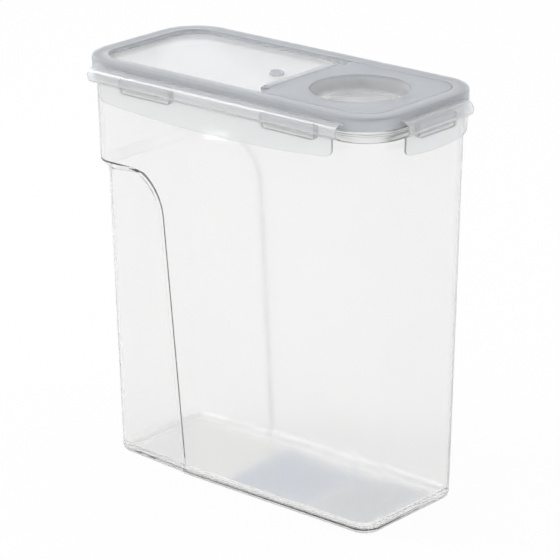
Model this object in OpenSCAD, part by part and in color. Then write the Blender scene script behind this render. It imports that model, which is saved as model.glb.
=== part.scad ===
// Dry food container with four locking flaps and a flip-up pouring cap.
// Millimetres. The origin is the centre of the base, +Z is up and +X points to the pouring end.

/* [Container] */
// Length of the base, along X
base_l = 198.5; // [120:0.5:260]
// Width of the base, along Y
base_w = 80.4; // [66:0.2:120]
// Corner radius of the base, seen from above
base_r = 11; // [9:0.5:20]
// Corner radius at the shoulder, seen from above
shoulder_r = 16; // [12:0.5:22]
// Height of the shoulder, where the locking flange starts
shoulder_z = 229; // [190:1:320]
// How far each wall leans out from the base to the shoulder
wall_flare = 5.45; // [3:0.05:6.5]
// Thickness of the walls
wall_t = 1.6; // [1:0.1:2]
// Thickness of the floor
floor_t = 2; // [1.2:0.1:4]
// Radius of the edge between the walls and the base
base_edge = 4.5; // [1:0.25:5]
// Width of the ring that the base stands on
foot_w = 11; // [10.5:0.5:14]
// Height of that ring
foot_h = 1; // [0.4:0.1:2]

/* [Grip] */
// Depth of the finger grip at the back end
grip_depth = 4.5; // [2:0.1:5]
// Depth of its step at the front edge, from where the sides taper in
grip_step = 0.9; // [0.4:0.1:1.6]
// Height of the top edge of the grip
grip_top = 181.7; // [120:0.1:186]
// Distance of the grip's front edge behind the middle, at the base
grip_front = 39.3; // [10:0.5:60]
// Lean of that front edge, in degrees
grip_lean = 4; // [0:0.1:8]
// Radius of the upper front corner of the grip
grip_r = 27; // [8:0.5:40]
// Height over which the ceiling of the grip slopes out
grip_slope = 5; // [2:0.5:12]

/* [Rim of the container] */
// Height of the locking flange
flange_h = 6.5; // [5.5:0.1:9]
// How far the flange stays inside the lid's outline
flange_in = 1; // [0.8:0.05:1.2]
// Radius of the bead along the top of the flange
flange_bead = 0.9; // [0.5:0.05:1.1]
// Depth of the groove under that bead
flange_groove = 0.8; // [0.3:0.1:1]
// Height of the small step over that bead
flange_step = 0.4; // [0.2:0.05:0.8]
// Height of the lip that stands above the flange, into the lid
lip_h = 4.75; // [3.5:0.05:6]
// Distance of the lip inside the lid's outline
lip_in = 2.4; // [2.2:0.05:2.6]
// Distance of the mouth's straight walls inside the lid's outline
mouth_in = 5.2; // [4.8:0.05:5.3]
// Corner radius of the mouth
mouth_r = 17; // [14:0.5:19]

/* [Lid] */
// How far each end of the lid overhangs the shoulder
end_over = 4.9; // [4.8:0.05:7]
// How far each side of the lid overhangs the shoulder
side_over = 4.1; // [4:0.05:6]
// Corner radius of the lid
lid_r = 25.5; // [20:0.5:26]
// Radius of the lid's top outer edge
lid_edge = 1.2; // [0.4:0.1:1.5]
// Thickness of the lid
lid_t = 1.6; // [1:0.1:2.4]
// Thickness of the skirt round the outside of the lid
skirt_t = 1.5; // [1:0.1:1.6]
// Gap between the skirt and the container's flange
skirt_gap = 0.5; // [0.1:0.1:1]
// Thickness of the inner skirt that plugs the mouth
plug_skirt_t = 1.2; // [0.8:0.1:1.2]
// Clearance between the inner skirt and the mouth
plug_skirt_gap = 0.4; // [0.2:0.05:0.5]
// How far the inner skirt reaches below the lid's rim
plug_skirt_h = 7; // [4:0.25:10]
// Width of the raised rim of the lid
rim_w = 9.2; // [9:0.1:12]
// Depth of the panel below the rim
panel_drop = 3; // [2.6:0.1:5]
// Thickness of the panel
panel_t = 1.4; // [1:0.1:2]
// Radius of the moulding ring at the middle of the panel
gate_r = 4.1; // [2:0.1:6]
// Height of that ring
gate_h = 2; // [0.4:0.1:2.2]
// Thickness of its wall
gate_t = 0.9; // [0.5:0.1:1.5]
// Distance of its centre behind the hinge bar
gate_back = 15.4; // [10:0.2:30]

/* [Gasket] */
// Thickness of the sealing ring between the lid and the lip
gasket_t = 1.1; // [0.6:0.05:2]
// Clearance between the sealing ring and the lip
gasket_gap = 0.05; // [0:0.01:0.3]
// Clearance on each side of the sealing ring in its channel
gasket_side = 0.3; // [0.1:0.05:0.6]

/* [Pouring cap] */
// Distance of the pouring hole's centre behind the front end of the lid
spout_in = 49.6; // [46:0.1:53]
// Radius of the pouring hole
spout_r = 30; // [26:0.25:32]
// Thickness of the collar round the hole
collar_t = 1.5; // [1:0.1:2.5]
// Depth of the collar below the panel
collar_h = 4.6; // [4:0.1:8]
// Thickness of the cap's top
cap_t = 1.6; // [1:0.1:2.2]
// Clearance round the cap
cap_gap = 0.5; // [0.3:0.05:1]
// Thickness of the cap's edge wall
cap_wall = 1.5; // [1:0.1:2.5]
// Clearance between the cap's underside and the panel
cap_rest = 0.1; // [0.05:0.05:0.3]
// Depth of the cap's dish, below the cap's top
dish_depth = 11; // [8:0.25:14]
// Radial clearance between the dish's outer wall and the pouring hole, at the top
dish_gap = 0.7; // [0.5:0.05:1.5]
// How much the dish narrows down to its floor
dish_taper = 2; // [1.5:0.1:4]
// Thickness of the dish's wall and floor
dish_t = 1.3; // [0.8:0.1:2]
// Radius of the cap's sealing ring, across its section
seal_r = 0.9; // [0.6:0.05:1.1]
// Clearance between the sealing ring and the collar
seal_gap = 0.3; // [0.25:0.05:0.5]
// Depth of the sealing ring below the panel's top
seal_drop = 2.6; // [2:0.1:3.5]
// Width of the thicker ring round the dish
dish_ring = 4.3; // [3:0.1:5]
// Radius of the finger dimple at the front of the cap
dimple_r = 12; // [8:0.5:16]
// Depth of that dimple
dimple_depth = 1; // [0.3:0.1:1]

/* [Cap hinge] */
// Distance of the back of the hinge bar behind the pouring hole's centre
bar_back = 44.6; // [42:0.2:50]
// Width of the hinge bar
bar_w = 3.8; // [3.4:0.1:4.4]
// Length of the hinge, over the cap's two arms
hinge_len = 63.4; // [40:0.2:70]
// Width of each arm of the cap
arm_w = 2.6; // [2:0.1:4]
// Clearance between an arm and the end of the bar
arm_gap = 0.25; // [0.1:0.05:0.5]
// Radius of the hinge pins
pin_r = 0.8; // [0.6:0.05:1]
// Radial clearance of the pins in the bar
pin_gap = 0.05; // [0.02:0.01:0.1]
// Length of each pin
pin_len = 4; // [2:0.25:8]
// Clearance between the bar and the back edge of the cap
bar_gap = 0.8; // [0.6:0.05:1.5]

/* [Flaps] */
// Length of the two side flaps
side_len = 171.2; // [120:0.2:173]
// How far the side flaps sit behind the middle
side_back = 1.1; // [0:0.1:4]
// How far a side flap's hinge film runs past each of its ends
side_film_over = 5; // [0:0.5:6]
// How far a side flap reaches below the shoulder, at its middle
side_reach = 13.1; // [12:0.1:24]
// How much its lower edge rises towards the ends
side_rise = 5; // [1:0.1:7]
// Length of the two end flaps
end_len = 53.2; // [40:0.2:56]
// How far an end flap's hinge film runs past each of its ends
end_film_over = 1; // [0:0.25:2]
// How far an end flap reaches below the shoulder, at its middle
end_reach = 10.8; // [10:0.1:17]
// How much its lower edge rises towards the ends
end_rise = 2.7; // [1:0.1:4.5]
// Radius of the flaps' lower corners
flap_corner = 5.5; // [1.5:0.25:6]
// Thickness of the flaps
flap_t = 1.2; // [0.8:0.05:1.4]
// Distance of a flap's face outside the lid's outline
flap_out = 4; // [3.4:0.05:4.6]
// How far a flap's lower edge curves back in
flap_curl = 2; // [0.5:0.1:2.6]
// Thickness of the hinge film along the top of a flap
film_t = 0.6; // [0.4:0.05:0.9]
// Radius of the film's loop, to its outside
film_r = 4.4; // [4:0.05:4.6]
// Radius of the bead where the film meets the lid
film_bead = 0.45; // [0.4:0.05:0.6]
// Clearance between that bead and the skirt
film_gap = 0.3; // [0.25:0.05:0.5]
// Height of the film's bead above the skirt's lower edge
film_up = 3.4; // [3:0.1:4]

/* [Locking pads] */
// Width of the pads on the side flaps
side_pad_w = 38; // [20:0.5:50]
// Distance of the back pad behind the middle
side_pad_back = 50.8; // [30:0.2:58]
// Distance of the front pad in front of the middle
side_pad_front = 53.8; // [30:0.2:56]
// Width of the pad on the end flaps
end_pad_w = 32; // [16:0.5:38]
// Height of the pads
pad_h = 9.3; // [9:0.1:9.6]
// Corner radius of the pads
pad_r = 2.4; // [0.5:0.1:3]
// How far a pad stands out of the flap's face
pad_out = 0.7; // [0.3:0.1:1]
// Clearance between a pad and the skirt
pad_gap = 0.4; // [0.3:0.05:0.6]
// How far the pads reach up behind the skirt's lower edge
pad_up = 1.2; // [0.5:0.1:1.6]
// Height of the locking bead under the flange
bead_h = 0.9; // [0.6:0.1:1]
// Clearance between the bead and the flange's face
bead_gap = 0.15; // [0.1:0.01:0.3]

/* [Hidden] */

$fn = 96;
SLICE = 0.02;          // thickness of the slices that the drafted shells are hulled from
OVER = 1;              // how far a cut runs past the face that it opens

lid_hl = base_l / 2 + wall_flare + end_over;   // half length of the lid
lid_hw = base_w / 2 + wall_flare + side_over;  // half width of the lid

flange_top = shoulder_z + flange_h;
lip_top = flange_top + lip_h;
rim_under = lip_top + gasket_gap + gasket_t;
lid_top = rim_under + lid_t;
skirt_low = flange_top + skirt_gap;
panel_top = lid_top - panel_drop;
panel_low = panel_top - panel_t;
floor_z = foot_h + floor_t;
plug_skirt_in = mouth_in + plug_skirt_gap;

bay_hl = lid_hl - rim_w;       // half length of the recessed panel
bay_hw = lid_hw - rim_w;
bay_r = lid_r - rim_w;

cap_under = panel_top + cap_rest;
spout_x = lid_hl - spout_in;
bar_x = spout_x - bar_back;
hinge_x = bar_x + bar_w / 2;
hinge_z = (lid_top + panel_top) / 2;
bar_len = hinge_len - 2 * arm_w - 2 * arm_gap;
cap_back = bar_x + bar_w + bar_gap;
cap_front = bay_hl - cap_gap;
notch_back = cap_back + 3;     // back edge of the cap beside the hinge arms
dish_out_r = spout_r - dish_gap;
dish_r = dish_out_r - dish_t;
dish_floor = lid_top - dish_depth;
seal_z = panel_top - seal_drop;
seal_out_r = spout_r - seal_gap;
seal_ring_r = seal_out_r - seal_r;

side_low = shoulder_z - side_reach;          // lowest point of a side flap
end_low = shoulder_z - end_reach;

film_axis_out = film_gap + film_bead;        // hinge axis of a flap, outside the lid's outline
film_axis_z = skirt_low + film_up;
loop_out = flap_out - flap_t;                // centre of the film's loop
loop_z = film_axis_z - film_r + film_t / 2;
face_top = loop_z - film_r + film_t;         // where the film runs into a flap's face
pad_top = skirt_low + pad_up;
pad_low = pad_top - pad_h;

// Outline of a rounded rectangle, given by its half length, half width and corner radius
module plan(hl, hw, r) {
    square([2 * (hl - r), 2 * hw], center = true);
    square([2 * hl, 2 * (hw - r)], center = true);
    for (sx = [-1, 1], sy = [-1, 1])
        translate([sx * (hl - r), sy * (hw - r)]) circle(r);
}

// Slab with that outline
module slab(hl, hw, r, z, h) {
    translate([0, 0, z]) linear_extrude(h) plan(hl, hw, r);
}

// Slab whose outline lies a given distance inside the lid's
module lid_slab(inside, z, h) {
    slab(lid_hl - inside, lid_hw - inside, lid_r - inside, z, h);
}

// Sweeps a profile round the lid's outline. In the profile, x is the distance outside the
// outline and y is the height.
module round_lid() {
    straight_l = 2 * (lid_hl - lid_r);
    straight_w = 2 * (lid_hw - lid_r);
    for (s = [0, 1]) rotate(180 * s) {
        translate([-straight_l / 2, -lid_hw, 0]) rotate([90, 0, 90])
            linear_extrude(straight_l) mirror([1, 0]) children();
        translate([lid_hl, -straight_w / 2, 0]) rotate([90, 0, 180]) mirror([1, 0, 0])
            linear_extrude(straight_w) children();
        for (m = [0, 1]) mirror([0, m, 0])
            translate([lid_hl - lid_r, lid_hw - lid_r, 0])
                rotate_extrude(angle = 90) translate([lid_r, 0]) children();
    }
}

// Half length, half width and corner radius of the container's outer wall at a height
function wall_l(z) = base_l / 2 + wall_flare * z / shoulder_z;
function wall_w(z) = base_w / 2 + wall_flare * z / shoulder_z;
function wall_r(z) = base_r + (shoulder_r - base_r) * z / shoulder_z;

// Slice of the container at a height, some distance inside the outer wall
module wall_slice(z, inside) {
    slab(wall_l(z) - inside, wall_w(z) - inside, max(wall_r(z) - inside, 0.6), z, SLICE);
}

// Slices of a drafted block with a rounded lower edge
module drafted_slices(inside, z0, z1, edge) {
    for (a = [0, 30, 60, 90])
        wall_slice(z0 + edge * (1 - cos(a)), inside + edge * (1 - sin(a)), $fn = 64);
    wall_slice(z1 - SLICE, inside, $fn = 64);
}

// That block: the container's outer form, or its hollow
module drafted(inside, z0, z1, edge) {
    hull() drafted_slices(inside, z0, z1, edge);
}

// What is left of it inside the grip, whose sides taper in towards the back end
module grip_core(inside, grow, z0, edge) {
    hull() {
        drafted_slices(inside + grip_depth, z0, shoulder_z, edge);
        difference() {
            drafted_slices(inside + grip_step, z0, shoulder_z, edge);
            translate([grow + OVER - grip_front, 0, 0]) rotate([0, -grip_lean, 0])
                translate([-base_l, -base_w, -base_l]) cube([base_l, 2 * base_w, 3 * base_l]);
        }
    }
}

// Ceiling of the grip: a band that widens from the grip's depth to the outer wall, and runs
// past both
module grip_ceiling(inside, lift) {
    slope = grip_depth / grip_slope;
    hull() {
        wall_slice(grip_top - grip_slope - OVER + lift, inside + grip_depth + slope * OVER, $fn = 64);
        wall_slice(grip_top + OVER + lift, inside - slope * OVER, $fn = 64);
    }
}

// Side view of the grip, in X and Z, grown by a distance
function grip_outline(grow) =
    let (far = base_l,
         zc = grip_top - grip_r,
         reach = grip_front * cos(grip_lean) - grow,
         xc = -(grip_front * cos(grip_lean) + grip_r + zc * sin(grip_lean)) / cos(grip_lean),
         rc = grip_r + grow)
    concat([[-far, -far],
            [(-reach + far * sin(grip_lean)) / cos(grip_lean), -far]],
           [for (i = [0:12]) let (a = grip_lean + (90 - grip_lean) * i / 12)
               [xc + rc * cos(a), zc + rc * sin(a)]],
           [[-far, zc + rc]]);

module grip_prism(grow) {
    translate([0, base_w, 0]) rotate([90, 0, 0])
        linear_extrude(2 * base_w) polygon(grip_outline(grow));
}

// What the grip takes from a drafted block
module grip_cut(inside, grow, lift, z0, edge) {
    difference() {
        grip_prism(grow);
        grip_core(inside, grow, z0, edge);
        grip_ceiling(inside, lift);
    }
}

module container() {
    ceiling_lift = 0.4 * wall_t;
    color([0.93, 0.94, 0.94]) difference() {
        union() {
            difference() {
                drafted(0, 0, shoulder_z + SLICE, base_edge);
                grip_cut(0, 0, 0, 0, base_edge);
            }
            container_rim();
        }
        difference() {
            drafted(wall_t, floor_z, shoulder_z + wall_t + SLICE, base_edge);
            grip_cut(wall_t, wall_t, ceiling_lift, floor_z, base_edge);
        }
        slab(lid_hl - mouth_in, lid_hw - mouth_in, mouth_r,
             shoulder_z + wall_t, flange_h + lip_h + OVER);
        slab(wall_l(0) - foot_w, wall_w(0) - foot_w, max(base_r - foot_w, 2), -OVER, foot_h + OVER);
    }
}

// Locking flange with its bead and groove, and the lip that stands into the lid
module container_rim() {
    bead_z = flange_top - flange_step - flange_bead;
    groove_z = bead_z - flange_bead - flange_groove;
    lid_slab(flange_in, shoulder_z, groove_z - shoulder_z);
    lid_slab(flange_in + flange_groove, shoulder_z, flange_h);
    round_lid() {
        translate([-flange_in - flange_bead, bead_z]) circle(flange_bead, $fn = 32);
    }
    lid_slab(lip_in, shoulder_z, flange_h + lip_h);
}

// Rim of the lid in section: top, outer skirt, inner skirt and the wall down to the panel
module lid_section() {
    difference() {
        union() {
            translate([-rim_w, rim_under]) square([rim_w, lid_t]);
            translate([-skirt_t, skirt_low]) square([skirt_t, lid_top - skirt_low]);
        }
        translate([-lid_edge, lid_top - lid_edge]) difference() {
            square(lid_edge + OVER);
            circle(lid_edge, $fn = 48);
        }
    }
    translate([-plug_skirt_in - plug_skirt_t, rim_under - plug_skirt_h])
        square([plug_skirt_t, plug_skirt_h + lid_t / 2]);
    translate([-rim_w, panel_low]) square([panel_t, lid_top - panel_low]);
}

module lid() {
    color([0.74, 0.77, 0.8]) difference() {
        union() {
            round_lid() lid_section();
            slab(bay_hl, bay_hw, bay_r, panel_low, panel_t);
            translate([spout_x, 0, panel_low - collar_h])
                cylinder(r = spout_r + collar_t, h = collar_h + panel_t / 2);
            translate([bar_x - gate_back, 0, panel_low]) cylinder(r = gate_r, h = panel_t + gate_h);
            translate([bar_x, -bar_len / 2, panel_low])
                cube([bar_w, bar_len, lid_top - panel_low]);
        }
        translate([spout_x, 0, panel_low - collar_h - OVER])
            cylinder(r = spout_r, h = collar_h + panel_t + 2 * OVER);
        translate([bar_x - gate_back, 0, panel_top]) cylinder(r = gate_r - gate_t, h = gate_h + OVER);
        for (s = [-1, 1]) translate([hinge_x, s * (bar_len / 2 + OVER), hinge_z])
            rotate([90 * s, 0, 0]) cylinder(r = pin_r + pin_gap, h = pin_len + OVER + arm_gap, $fn = 48);
    }
}

module lid_gasket() {
    channel_w = plug_skirt_in - skirt_t;
    color([0.86, 0.88, 0.9]) round_lid()
        translate([-plug_skirt_in + gasket_side, lip_top + gasket_gap])
            square([channel_w - 2 * gasket_side, gasket_t]);
}

// Outline of the cap, seen from above: it fills the front of the bay, and its back corners
// are notched beside the hinge
module cap_outline(inside) {
    intersection() {
        plan(cap_front - inside, bay_hw - cap_gap - inside, bay_r - cap_gap - inside);
        union() {
            translate([notch_back + inside, -lid_hw]) square([lid_hl, 2 * lid_hw]);
            translate([cap_back + inside, -hinge_len / 2 + inside])
                square([lid_hl, hinge_len - 2 * inside]);
        }
    }
}

module flip_cap() {
    skirt_h = lid_top - cap_t - cap_under;
    color([0.68, 0.72, 0.76]) difference() {
        union() {
            translate([0, 0, lid_top - cap_t]) linear_extrude(cap_t) cap_outline(0);
            translate([0, 0, cap_under]) linear_extrude(skirt_h + cap_t / 2) difference() {
                cap_outline(0);
                cap_outline(cap_wall);
            }
            translate([spout_x, 0, dish_floor - dish_t])
                cylinder(r1 = dish_out_r - dish_taper, r2 = dish_out_r,
                         h = dish_depth + dish_t - cap_t / 2);
            translate([spout_x, 0, cap_under])
                cylinder(r = dish_out_r + dish_ring, h = skirt_h + cap_t / 2);
            cap_arms();
        }
        translate([spout_x, 0, dish_floor])
            cylinder(r1 = dish_r - dish_taper, r2 = dish_r, h = dish_depth + SLICE);
        translate([spout_x, 0, seal_z]) rotate_extrude()
            translate([seal_ring_r, 0]) circle(seal_r, $fn = 32);
        translate([(cap_front + spout_x + spout_r) / 2, 0, lid_top + dimple_r - dimple_depth])
            sphere(dimple_r);
    }
}

// The two arms that carry the cap, with their pins
module cap_arms() {
    arm_r = (lid_top - cap_under) / 2;
    for (s = [-1, 1]) {
        translate([hinge_x, s * (hinge_len / 2 - arm_w / 2), cap_under + arm_r]) {
            rotate([90, 0, 0]) cylinder(r = arm_r, h = arm_w, center = true, $fn = 48);
            translate([0, -arm_w / 2, -arm_r])
                cube([cap_back - hinge_x + cap_wall, arm_w, 2 * arm_r]);
        }
        translate([hinge_x, s * (bar_len / 2 + arm_gap + arm_w / 2), hinge_z])
            rotate([90 * s, 0, 0]) cylinder(r = pin_r, h = pin_len + arm_w / 2, $fn = 48);
    }
}

module cap_seal() {
    color([0.86, 0.88, 0.9]) translate([spout_x, 0, seal_z]) rotate_extrude()
        translate([seal_ring_r, 0]) circle(seal_r, $fn = 32);
}

// Front view of a flap, along its length and up: an arc between two rounded lower corners
module flap_outline(len, low, rise) {
    arc_r = (len * len / 4 + rise * rise) / (2 * rise);
    cx = len / 2 - flap_corner;
    cy = low + arc_r - sqrt(pow(arc_r - flap_corner, 2) - cx * cx);
    intersection() {
        translate([0, low + arc_r]) circle(arc_r, $fn = 360);
        translate([-cx, low - OVER]) square([2 * cx, face_top - low + 2 * OVER]);
    }
    translate([-len / 2, cy]) square([len, face_top + OVER - cy]);
    for (s = [-1, 1]) translate([s * cx, cy]) circle(flap_corner, $fn = 48);
}

// Hinge film of a flap in section, where x is the distance outside the lid's outline and y
// is the height. It runs out from its bead and loops down to the top of the flap's face.
module film_section() {
    translate([film_axis_out, film_axis_z]) circle(film_bead, $fn = 32);
    translate([film_axis_out, film_axis_z - film_t / 2]) square([loop_out - film_axis_out, film_t]);
    intersection() {
        translate([loop_out, loop_z]) difference() {
            circle(film_r);
            circle(film_r - film_t);
        }
        translate([loop_out, loop_z - film_r]) square(2 * film_r);
    }
}

// Face of a flap in section. It curls in towards its lower edge.
module face_section(low) {
    curl_h = (face_top - low) * 0.8;
    curl_r = (curl_h * curl_h + flap_curl * flap_curl) / (2 * flap_curl);
    translate([loop_out, low + curl_h]) square([flap_t, face_top - low - curl_h]);
    intersection() {
        translate([flap_out - curl_r, low + curl_h]) difference() {
            circle(curl_r, $fn = 360);
            circle(curl_r - flap_t, $fn = 360);
        }
        translate([loop_out - flap_curl - OVER, low]) square([flap_t + flap_curl + 2 * OVER, curl_h]);
    }
}

// Locking pad with its bead, which snaps under the container's flange
module locking_pad(w) {
    bead_in = flange_in - bead_gap;
    translate([pad_gap, 0, (pad_top + pad_low) / 2]) rotate([90, 0, 90])
        linear_extrude(flap_out + pad_out - pad_gap) plan(w / 2, pad_h / 2, pad_r);
    translate([-bead_in, -w / 2 + pad_r, pad_low])
        cube([bead_in + pad_gap + pad_r, w - 2 * pad_r, bead_h]);
}

// Flap along Y with its outside towards +X, where x = 0 is the lid's outline
module flap(len, film_over, low, rise, shift, pads) {
    film_len = len + 2 * film_over;
    color([0.78, 0.81, 0.84]) union() {
        translate([0, shift + film_len / 2, 0]) rotate([90, 0, 0])
            linear_extrude(film_len) film_section();
        intersection() {
            translate([0, shift + len / 2, 0]) rotate([90, 0, 0])
                linear_extrude(len) face_section(low);
            translate([-lid_r, shift, 0]) rotate([90, 0, 90])
                linear_extrude(2 * lid_r) flap_outline(len, low, rise);
        }
        for (p = pads) translate([0, p[0], 0]) locking_pad(p[1]);
    }
}

module side_flap() {
    flap(side_len, side_film_over, side_low, side_rise, -side_back,
         [[-side_pad_back, side_pad_w], [side_pad_front, side_pad_w]]);
}

module end_flap() {
    flap(end_len, end_film_over, end_low, end_rise, 0, [[0, end_pad_w]]);
}

// The side flaps are a mirrored pair, because their pads aren't evenly spaced
module flap_side_far() {
    translate([0, lid_hw, 0]) mirror([1, -1, 0]) side_flap();
}

module flap_side_near() {
    mirror([0, 1, 0]) flap_side_far();
}

module flap_front() {
    translate([lid_hl, 0, 0]) end_flap();
}

module flap_rear() {
    mirror([1, 0, 0]) flap_front();
}

container();
lid();
lid_gasket();
flip_cap();
cap_seal();
flap_side_near();
flap_side_far();
flap_front();
flap_rear();
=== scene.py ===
"""Cereal container with a lid that four flaps lock and a cap that flips up for pouring.

The sections follow the object as it is put together: container, lid, gasket, cap, seal and
flaps. The floor, the light and the camera come last. Lengths are in metres.
"""
import math

import bpy
from mathutils import Matrix, Vector

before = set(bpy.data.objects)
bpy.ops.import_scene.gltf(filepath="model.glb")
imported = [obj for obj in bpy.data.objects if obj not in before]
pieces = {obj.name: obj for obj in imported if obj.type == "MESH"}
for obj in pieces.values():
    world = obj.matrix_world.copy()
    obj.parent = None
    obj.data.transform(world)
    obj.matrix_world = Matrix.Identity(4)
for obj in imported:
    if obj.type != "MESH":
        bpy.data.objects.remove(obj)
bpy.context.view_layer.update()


# ---------------------------------------------------------------- container
# The real piece is one moulding in clear polypropylene, drafted on all sides so that it leaves
# its mould. The inside of its floor is polished. The edge that it stands on, and the flange and
# the lip at its mouth, are satin.

CLEAR_COLOR = (0.995, 0.995, 0.99)
CLEAR_SHARE = 0.965              # share of the light that goes through the surface
CLEAR_GLOSS = (0.09, 0.12)       # least and most roughness of the moulded skin
CLEAR_GRAIN = 0.003
CLEAR_CLOUD = (0.5, 0.5, 0.5)    # colour that the thickness of the wall takes on
CLEAR_CLOUD_DENSITY = 3.0
FLOOR_INSIDE = (0.0033, 0.0031)  # heights between which the polish of the floor starts
FLOOR_POLISH = 0.03
FOOT_HEIGHTS = (0.0029, 0.0027)
FOOT_CORNER = (0.08825, 0.0292)  # centre of a corner of the standing edge
FOOT_RADII = (0.0001, 0.0003)
FOOT_SATIN = 0.9
MOUTH_HEIGHTS = (0.2284, 0.2292)
MOUTH_SATIN = 0.35

PLASTIC_IOR = 1.49
PATCH_SCALE = 25.0               # soft patches in the gloss, per metre
PATCH_DETAIL = 3.0
PATCH_RANGE = (0.3, 0.7)         # part of the noise that is spread over the gloss
GRAIN_SCALE = 900.0
GRAIN_DETAIL = 2.0
GRAIN_DEPTH = 0.0002
FLOAT, VECTOR = "NodeSocketFloat", "NodeSocketVector"


def new_effect(name, inputs, outputs):
    """Empty node group for an effect that more than one of the plastics uses."""
    group = bpy.data.node_groups.new(name, "ShaderNodeTree")
    for label, kind in inputs.items():
        group.interface.new_socket(label, in_out="INPUT", socket_type=kind)
    for label in outputs:
        group.interface.new_socket(label, in_out="OUTPUT", socket_type=FLOAT)
    n = group.nodes
    return group, n, group.links.new, n.new("NodeGroupInput"), n.new("NodeGroupOutput")


def new_moulded_haze():
    """Uneven gloss of a moulded skin: broad soft patches, and a very fine grain as height."""
    group, n, link, given, result = new_effect(
        "moulded_haze", {"Scale": FLOAT, "Low": FLOAT, "High": FLOAT}, ("Roughness", "Height"))
    coords = n.new("ShaderNodeTexCoord")
    broad = n.new("ShaderNodeTexNoise")
    broad.inputs["Detail"].default_value = PATCH_DETAIL
    fine = n.new("ShaderNodeTexNoise")
    fine.inputs["Scale"].default_value = GRAIN_SCALE
    fine.inputs["Detail"].default_value = GRAIN_DETAIL
    spread = n.new("ShaderNodeMapRange")
    spread.inputs["From Min"].default_value = PATCH_RANGE[0]
    spread.inputs["From Max"].default_value = PATCH_RANGE[1]
    link(coords.outputs["Object"], broad.inputs["Vector"])
    link(coords.outputs["Object"], fine.inputs["Vector"])
    link(given.outputs["Scale"], broad.inputs["Scale"])
    link(broad.outputs["Fac"], spread.inputs["Value"])
    link(given.outputs["Low"], spread.inputs["To Min"])
    link(given.outputs["High"], spread.inputs["To Max"])
    link(spread.outputs["Result"], result.inputs["Roughness"])
    link(fine.outputs["Fac"], result.inputs["Height"])
    return group


def new_satin_zone():
    """0 at the height Low and 1 at the height High, with a soft step between them."""
    group, n, link, given, result = new_effect(
        "satin_zone", {"Low": FLOAT, "High": FLOAT}, ("Satin",))
    coords = n.new("ShaderNodeTexCoord")
    split = n.new("ShaderNodeSeparateXYZ")
    step = n.new("ShaderNodeMapRange")
    step.interpolation_type = "SMOOTHSTEP"
    link(coords.outputs["Object"], split.inputs[0])
    link(split.outputs["Z"], step.inputs["Value"])
    link(given.outputs["Low"], step.inputs["From Min"])
    link(given.outputs["High"], step.inputs["From Max"])
    link(step.outputs["Result"], result.inputs["Satin"])
    return group


def new_outline_zone():
    """1 outside a rounded outline seen from above, whose corners have their centre at Core."""
    group, n, link, given, result = new_effect(
        "outline_zone", {"Core": VECTOR, "From": FLOAT, "To": FLOAT}, ("Outside",))

    def vector(operation, first, second=None):
        node = n.new("ShaderNodeVectorMath")
        node.operation = operation
        link(first, node.inputs[0])
        if isinstance(second, tuple):
            node.inputs[1].default_value = second
        elif second is not None:
            link(second, node.inputs[1])
        return node

    coords = n.new("ShaderNodeTexCoord")
    flat = vector("MULTIPLY", coords.outputs["Object"], (1, 1, 0))
    quarter = vector("ABSOLUTE", flat.outputs[0])
    from_core = vector("SUBTRACT", quarter.outputs[0], given.outputs["Core"])
    beyond = vector("MAXIMUM", from_core.outputs[0], (0, 0, 0))
    reach = vector("LENGTH", beyond.outputs[0])
    step = n.new("ShaderNodeMapRange")
    link(reach.outputs["Value"], step.inputs["Value"])
    link(given.outputs["From"], step.inputs["From Min"])
    link(given.outputs["To"], step.inputs["From Max"])
    link(step.outputs["Result"], result.inputs["Outside"])
    return group


moulded_haze = new_moulded_haze()
satin_zone = new_satin_zone()
outline_zone = new_outline_zone()


def plastic(name, color, clear, gloss, grain, cloud=None, cloud_density=0.0):
    """Translucent moulded plastic, with a soft haze in its gloss and a cloud in its thickness."""
    mat = bpy.data.materials.new(name)
    mat.use_nodes = True
    n, link = mat.node_tree.nodes, mat.node_tree.links.new
    bsdf = n["Principled BSDF"]
    skin = n.new("ShaderNodeGroup")
    skin.node_tree = moulded_haze
    skin.inputs["Scale"].default_value = PATCH_SCALE
    skin.inputs["Low"].default_value, skin.inputs["High"].default_value = gloss
    relief = n.new("ShaderNodeBump")
    relief.inputs["Strength"].default_value = grain
    relief.inputs["Distance"].default_value = GRAIN_DEPTH
    link(skin.outputs["Height"], relief.inputs["Height"])
    link(relief.outputs["Normal"], bsdf.inputs["Normal"])
    link(skin.outputs["Roughness"], bsdf.inputs["Roughness"])
    bsdf.inputs["Base Color"].default_value = (*color, 1.0)
    bsdf.inputs["Transmission Weight"].default_value = clear
    bsdf.inputs["IOR"].default_value = PLASTIC_IOR
    if cloud is not None:
        volume = n.new("ShaderNodeVolumeAbsorption")
        volume.inputs["Color"].default_value = (*cloud, 1.0)
        volume.inputs["Density"].default_value = cloud_density
        link(volume.outputs["Volume"], n["Material Output"].inputs["Volume"])
    return mat


def between(mat, heights):
    """Part of a piece past a height, from the first of the two heights to the second."""
    zone = mat.node_tree.nodes.new("ShaderNodeGroup")
    zone.node_tree = satin_zone
    zone.inputs["Low"].default_value, zone.inputs["High"].default_value = heights
    return zone.outputs["Satin"]


def outside(mat, corner, radii):
    """Part of a piece outside a rounded outline, from the first of the two radii on."""
    zone = mat.node_tree.nodes.new("ShaderNodeGroup")
    zone.node_tree = outline_zone
    zone.inputs["Core"].default_value = (*corner, 0)
    zone.inputs["From"].default_value, zone.inputs["To"].default_value = radii
    return zone.outputs["Outside"]


def joined(mat, operation, part, other):
    """One part out of two: MAXIMUM takes both, MULTIPLY what they share."""
    join = mat.node_tree.nodes.new("ShaderNodeMath")
    join.operation = operation
    mat.node_tree.links.new(part, join.inputs[0])
    mat.node_tree.links.new(other, join.inputs[1])
    return join.outputs[0]


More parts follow.
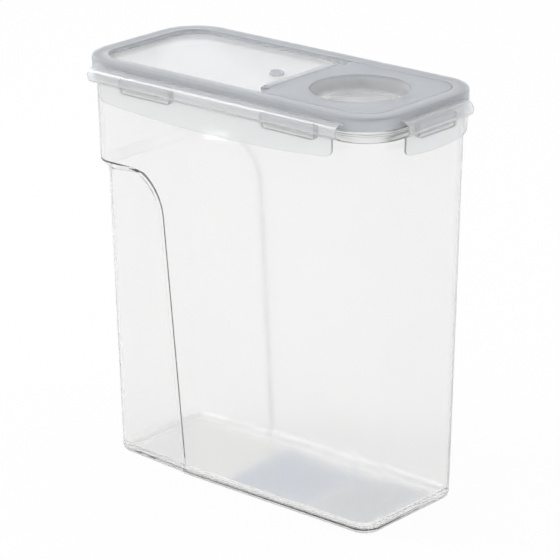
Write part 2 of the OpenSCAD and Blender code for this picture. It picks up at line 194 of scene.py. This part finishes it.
def finish_part(mat, part, roughness, color=None):
    """Gives part of a piece another roughness, and another colour where there is one."""
    n, link = mat.node_tree.nodes, mat.node_tree.links.new
    bsdf = n["Principled BSDF"]
    rough = n.new("ShaderNodeMix")
    rough.data_type = "FLOAT"
    rough.inputs["B"].default_value = roughness
    link(part, rough.inputs["Factor"])
    link(bsdf.inputs["Roughness"].links[0].from_socket, rough.inputs["A"])
    link(rough.outputs["Result"], bsdf.inputs["Roughness"])
    if color is not None:
        shade = n.new("ShaderNodeMix")
        shade.data_type = "RGBA"
        shade.inputs["A"].default_value = bsdf.inputs["Base Color"].default_value
        shade.inputs["B"].default_value = (*color, 1.0)
        link(part, shade.inputs["Factor"])
        link(shade.outputs["Result"], bsdf.inputs["Base Color"])


def dress(name, mat):
    """Gives a piece its material, and leaves its mesh and place as they are."""
    pieces[name].data.materials.clear()
    pieces[name].data.materials.append(mat)


clear_body = plastic("clear_body", CLEAR_COLOR, CLEAR_SHARE, CLEAR_GLOSS, CLEAR_GRAIN,
                     CLEAR_CLOUD, CLEAR_CLOUD_DENSITY)
finish_part(clear_body, between(clear_body, FLOOR_INSIDE), FLOOR_POLISH)
finish_part(clear_body, joined(clear_body, "MULTIPLY", between(clear_body, FOOT_HEIGHTS),
                               outside(clear_body, FOOT_CORNER, FOOT_RADII)), FOOT_SATIN)
finish_part(clear_body, between(clear_body, MOUTH_HEIGHTS), MOUTH_SATIN)
dress("container", clear_body)


# ---------------------------------------------------------------- lid
# The real lid is one moulding in a paler, milkier polypropylene. Its mould has a fine texture
# at the rim and the outer skirt, which come out satin, and is polished at the recessed panel,
# which stays clear.

LID_COLOR = (0.985, 0.99, 0.995)
LID_SHARE = 0.55
LID_GLOSS = (0.08, 0.12)
LID_GRAIN = 0.03
LID_CLOUD = (0.5, 0.52, 0.54)
LID_CLOUD_DENSITY = 3.0
RIM_HEIGHTS = (0.2404, 0.2414)
RIM_COLOR = (0.855, 0.88, 0.918)
RIM_SATIN = 0.5
SKIRT_CORNER = (0.084, 0.02425)
SKIRT_RADII = (0.0241, 0.0246)   # the skirt's outer face, and not its inner one

lid_plastic = plastic("lid_plastic", LID_COLOR, LID_SHARE, LID_GLOSS, LID_GRAIN,
                      LID_CLOUD, LID_CLOUD_DENSITY)
finish_part(lid_plastic, joined(lid_plastic, "MAXIMUM", between(lid_plastic, RIM_HEIGHTS),
                                outside(lid_plastic, SKIRT_CORNER, SKIRT_RADII)),
            RIM_SATIN, RIM_COLOR)
dress("lid", lid_plastic)


# ---------------------------------------------------------------- lid gasket
# The real gasket is a soft, nearly clear rubber ring in the channel between the lid's two
# skirts. The flaps pull the lid down, and the ring then closes the container's mouth.

RUBBER_COLOR = (0.94, 0.95, 0.96)
RUBBER_SHARE = 0.7
RUBBER_GLOSS = (0.35, 0.5)
RUBBER_GRAIN = 0.05

seal_rubber = plastic("seal_rubber", RUBBER_COLOR, RUBBER_SHARE, RUBBER_GLOSS, RUBBER_GRAIN)
dress("lid_gasket", seal_rubber)


# ---------------------------------------------------------------- flip cap
# The real cap is a moulding of its own in the lid's plastic. The pins on its two arms snap into
# the ends of the hinge bar. Its top is satin and a little darker than the rim, and the wall of
# its dish is frosted down to the clear floor. The dish wall and the cap's sides keep a near-white
# colour, painted lighter than the top to offset the shade that falls on them.

# near-white tone of the clear dish floor, and also painted light: the dish wall and the sides
# keep it, lighter than the top, to offset the shade on them
CAP_CLEAR_AND_PAINTED_LIGHT_COLOR = (0.99, 0.993, 0.996)
CAP_SHARE = 0.68
CAP_GLOSS = (0.06, 0.10)
CAP_CLOUD_DENSITY = 1.0
# above these heights the cap takes the darker top colour; below them the walls and sides stay
# painted lighter, to offset their shade
CAP_TOP_OVER_PAINTED_LIGHT_HEIGHTS = (0.2408, 0.2426)
CAP_TOP_COLOR = (0.765, 0.79, 0.83)
CAP_SATIN = 0.5
DISH_WALL_HEIGHTS = (0.2328, 0.2342)

cap_plastic = plastic("cap_plastic", CAP_CLEAR_AND_PAINTED_LIGHT_COLOR, CAP_SHARE, CAP_GLOSS, LID_GRAIN,
                      LID_CLOUD, CAP_CLOUD_DENSITY)
finish_part(cap_plastic, between(cap_plastic, CAP_TOP_OVER_PAINTED_LIGHT_HEIGHTS), CAP_SATIN, CAP_TOP_COLOR)
finish_part(cap_plastic, between(cap_plastic, DISH_WALL_HEIGHTS), CAP_SATIN)
dress("flip_cap", cap_plastic)


# ---------------------------------------------------------------- cap seal
# The real seal is a thin ring of the gasket's rubber, in a groove round the dish. It closes the
# pouring hole, and its squeeze holds the cap shut.

dress("cap_seal", seal_rubber)


# ---------------------------------------------------------------- locking flaps
# The real flaps are moulded with the lid and bend at a thin film. The two long ones have two
# pads and the two short ones one, which snap in under the container's flange. The film and the
# upper band are a little cloudier than the face.

FLAP_COLOR = (0.985, 0.99, 0.995)
FLAP_SHARE = 0.76
FLAP_GLOSS = (0.06, 0.10)
FLAP_CLOUD_DENSITY = 2.0
FLAP_BAND_HEIGHTS = (0.2338, 0.2346)
FLAP_BAND_COLOR = (0.97, 0.98, 0.995)
FLAP_BAND_SATIN = 0.2

flap_plastic = plastic("flap_plastic", FLAP_COLOR, FLAP_SHARE, FLAP_GLOSS, LID_GRAIN,
                       LID_CLOUD, FLAP_CLOUD_DENSITY)
finish_part(flap_plastic, between(flap_plastic, FLAP_BAND_HEIGHTS), FLAP_BAND_SATIN,
            FLAP_BAND_COLOR)
for flap in ("flap_side_near", "flap_side_far", "flap_front", "flap_rear"):
    dress(flap, flap_plastic)


# ---------------------------------------------------------------- floor
# A wide white table. The camera sees it nearly white, and through the plastic it shows more of
# its own soft shade under the container.

FLOOR_HALF = 6.0
FLOOR_COLOR = (0.92, 0.92, 0.92)
FLOOR_GLOW_SHARE = 0.95
GLOW_LESS_THROUGH_PLASTIC = -0.25


def white_rays(n, link, path):
    """1 for the rays that see the background itself: camera, mirror and see-through rays."""
    first = n.new("ShaderNodeMath")
    first.operation = "MAXIMUM"
    either = n.new("ShaderNodeMath")
    either.operation = "MAXIMUM"
    link(path.outputs["Is Camera Ray"], first.inputs[0])
    link(path.outputs["Is Glossy Ray"], first.inputs[1])
    link(first.outputs[0], either.inputs[0])
    link(path.outputs["Is Transmission Ray"], either.inputs[1])
    return either.outputs[0]


def flat_piece(name, corners):
    """One flat face of the stage, with an empty material of its own."""
    mesh = bpy.data.meshes.new(name)
    mesh.from_pydata(corners, [], [(0, 1, 2, 3)])
    obj = bpy.data.objects.new(name, mesh)
    bpy.context.collection.objects.link(obj)
    mat = bpy.data.materials.new(name)
    mat.use_nodes = True
    mat.node_tree.nodes.clear()
    mesh.materials.append(mat)
    return obj, mat.node_tree.nodes, mat.node_tree.links.new


floor, n, link = flat_piece("floor", [(-FLOOR_HALF, -FLOOR_HALF, 0), (FLOOR_HALF, -FLOOR_HALF, 0),
                                      (FLOOR_HALF, FLOOR_HALF, 0), (-FLOOR_HALF, FLOOR_HALF, 0)])
matt = n.new("ShaderNodeBsdfDiffuse")
matt.inputs["Color"].default_value = (*FLOOR_COLOR, 1)
glow = n.new("ShaderNodeEmission")
glow.inputs["Color"].default_value = (1, 1, 1, 1)
glow.inputs["Strength"].default_value = 1.0
path = n.new("ShaderNodeLightPath")
share = n.new("ShaderNodeMath")
share.operation = "MULTIPLY"
share.inputs[1].default_value = FLOOR_GLOW_SHARE
through = n.new("ShaderNodeMath")
through.operation = "MULTIPLY_ADD"
through.inputs[1].default_value = GLOW_LESS_THROUGH_PLASTIC
table_top = n.new("ShaderNodeMixShader")
out = n.new("ShaderNodeOutputMaterial")
link(white_rays(n, link, path), share.inputs[0])
link(path.outputs["Is Transmission Ray"], through.inputs[0])
link(share.outputs[0], through.inputs[2])
link(through.outputs[0], table_top.inputs["Fac"])
link(matt.outputs[0], table_top.inputs[1])
link(glow.outputs[0], table_top.inputs[2])
link(table_top.outputs[0], out.inputs["Surface"])


# ---------------------------------------------------------------- light
# An even white studio, with one small lamp from the left and a wide weak one above. Two cards
# stand for the dark thing whose image lies on the container's floor. Only their undersides
# show, and only in the plastic's reflections.

ROOM_COLOR = (0.97, 0.985, 1.0)
ROOM_LIGHT = 0.8
CARD_HEIGHT = 0.05
DARK_CARD = ((-0.0846, 0.0463), (-0.0895, 0.1135), (-0.0245, 0.1051), (-0.0235, 0.0477))
DARK_CARD_COLOR = (0.0, 0.15, 0.45)
PALE_CARD = ((-0.0235, 0.1099), (0.0299, 0.1205), (0.0384, 0.0461), (-0.0197, 0.0470))
PALE_CARD_COLOR = (0.12, 0.22, 0.34)
LAMP_AIM = Vector((0, 0, 0.12))
KEY_LAMP = {"place": (-1.05, -0.60, 1.30), "size": 0.6, "watts": 8}
TOP_LAMP = {"place": (0.1, 0.4, 1.7), "size": 1.4, "watts": 2.5}

studio = bpy.data.worlds.new("studio")
bpy.context.scene.world = studio
studio.use_nodes = True
n, link = studio.node_tree.nodes, studio.node_tree.links.new
n.clear()
room = n.new("ShaderNodeBackground")
room.inputs["Color"].default_value = (*ROOM_COLOR, 1)
room.inputs["Strength"].default_value = ROOM_LIGHT
backdrop = n.new("ShaderNodeBackground")
backdrop.inputs["Color"].default_value = (1, 1, 1, 1)
backdrop.inputs["Strength"].default_value = 1.0
path = n.new("ShaderNodeLightPath")
surround = n.new("ShaderNodeMixShader")
out = n.new("ShaderNodeOutputWorld")
link(white_rays(n, link, path), surround.inputs["Fac"])
link(room.outputs[0], surround.inputs[1])
link(backdrop.outputs[0], surround.inputs[2])
link(surround.outputs[0], out.inputs["Surface"])


def lamp(name, place, size, watts):
    """Square lamp that points at the middle of the container."""
    data = bpy.data.lights.new(name, "AREA")
    data.shape = "SQUARE"
    data.size = size
    data.energy = watts
    obj = bpy.data.objects.new(name, data)
    bpy.context.collection.objects.link(obj)
    obj.location = place
    obj.rotation_euler = (LAMP_AIM - Vector(place)).to_track_quat("-Z", "Y").to_euler()


lamp("key", **KEY_LAMP)
lamp("top", **TOP_LAMP)


def card(name, corners, color):
    """Level card whose underside shows after a reflection, and which is clear otherwise."""
    obj, n, link = flat_piece(name, [(x, y, CARD_HEIGHT) for x, y in corners])
    face = n.new("ShaderNodeEmission")
    face.inputs["Color"].default_value = (*color, 1)
    nothing = n.new("ShaderNodeBsdfTransparent")
    path = n.new("ShaderNodeLightPath")
    side = n.new("ShaderNodeNewGeometry")
    reflected = n.new("ShaderNodeMath")
    reflected.operation = "MINIMUM"
    reflected.inputs[1].default_value = 1.0
    from_below = n.new("ShaderNodeMath")
    from_below.operation = "SUBTRACT"
    from_below.use_clamp = True
    pick = n.new("ShaderNodeMixShader")
    out = n.new("ShaderNodeOutputMaterial")
    link(path.outputs["Glossy Depth"], reflected.inputs[0])
    link(reflected.outputs[0], from_below.inputs[0])
    link(side.outputs["Backfacing"], from_below.inputs[1])
    link(from_below.outputs[0], pick.inputs["Fac"])
    link(nothing.outputs[0], pick.inputs[1])
    link(face.outputs[0], pick.inputs[2])
    link(pick.outputs[0], out.inputs["Surface"])
    obj.visible_camera = False
    obj.visible_diffuse = False
    obj.visible_shadow = False


card("flag", DARK_CARD, DARK_CARD_COLOR)
card("pale_flag", PALE_CARD, PALE_CARD_COLOR)


# ---------------------------------------------------------------- camera
# Its place, turn and lens are fitted to the photograph, by the edges of the container, its foot
# and its rim, and by the outline of the lid.

CAMERA_PLACE = (1.0652, -1.2257, 0.6897)
CAMERA_AZIMUTH = math.radians(40.954)
CAMERA_ELEVATION = math.radians(19.370)
CAMERA_ROLL = math.radians(-0.349)
CAMERA_LENS_MM = 194.2
CAMERA_SENSOR_MM = 36.0

view = bpy.data.cameras.new("camera")
view.lens = CAMERA_LENS_MM
view.sensor_width = CAMERA_SENSOR_MM
camera = bpy.data.objects.new("camera", view)
bpy.context.collection.objects.link(camera)
level = math.cos(CAMERA_ELEVATION)
forward = Vector((-math.sin(CAMERA_AZIMUTH) * level, math.cos(CAMERA_AZIMUTH) * level,
                  -math.sin(CAMERA_ELEVATION)))
right = forward.cross(Vector((0, 0, 1))).normalized()
up = right.cross(forward)
cos_roll, sin_roll = math.cos(CAMERA_ROLL), math.sin(CAMERA_ROLL)
right, up = cos_roll * right + sin_roll * up, cos_roll * up - sin_roll * right
turn = Matrix((right, up, -forward)).transposed().to_4x4()
camera.matrix_world = Matrix.Translation(CAMERA_PLACE) @ turn
bpy.context.scene.camera = camera
bpy.context.scene.view_settings.view_transform = "Standard"
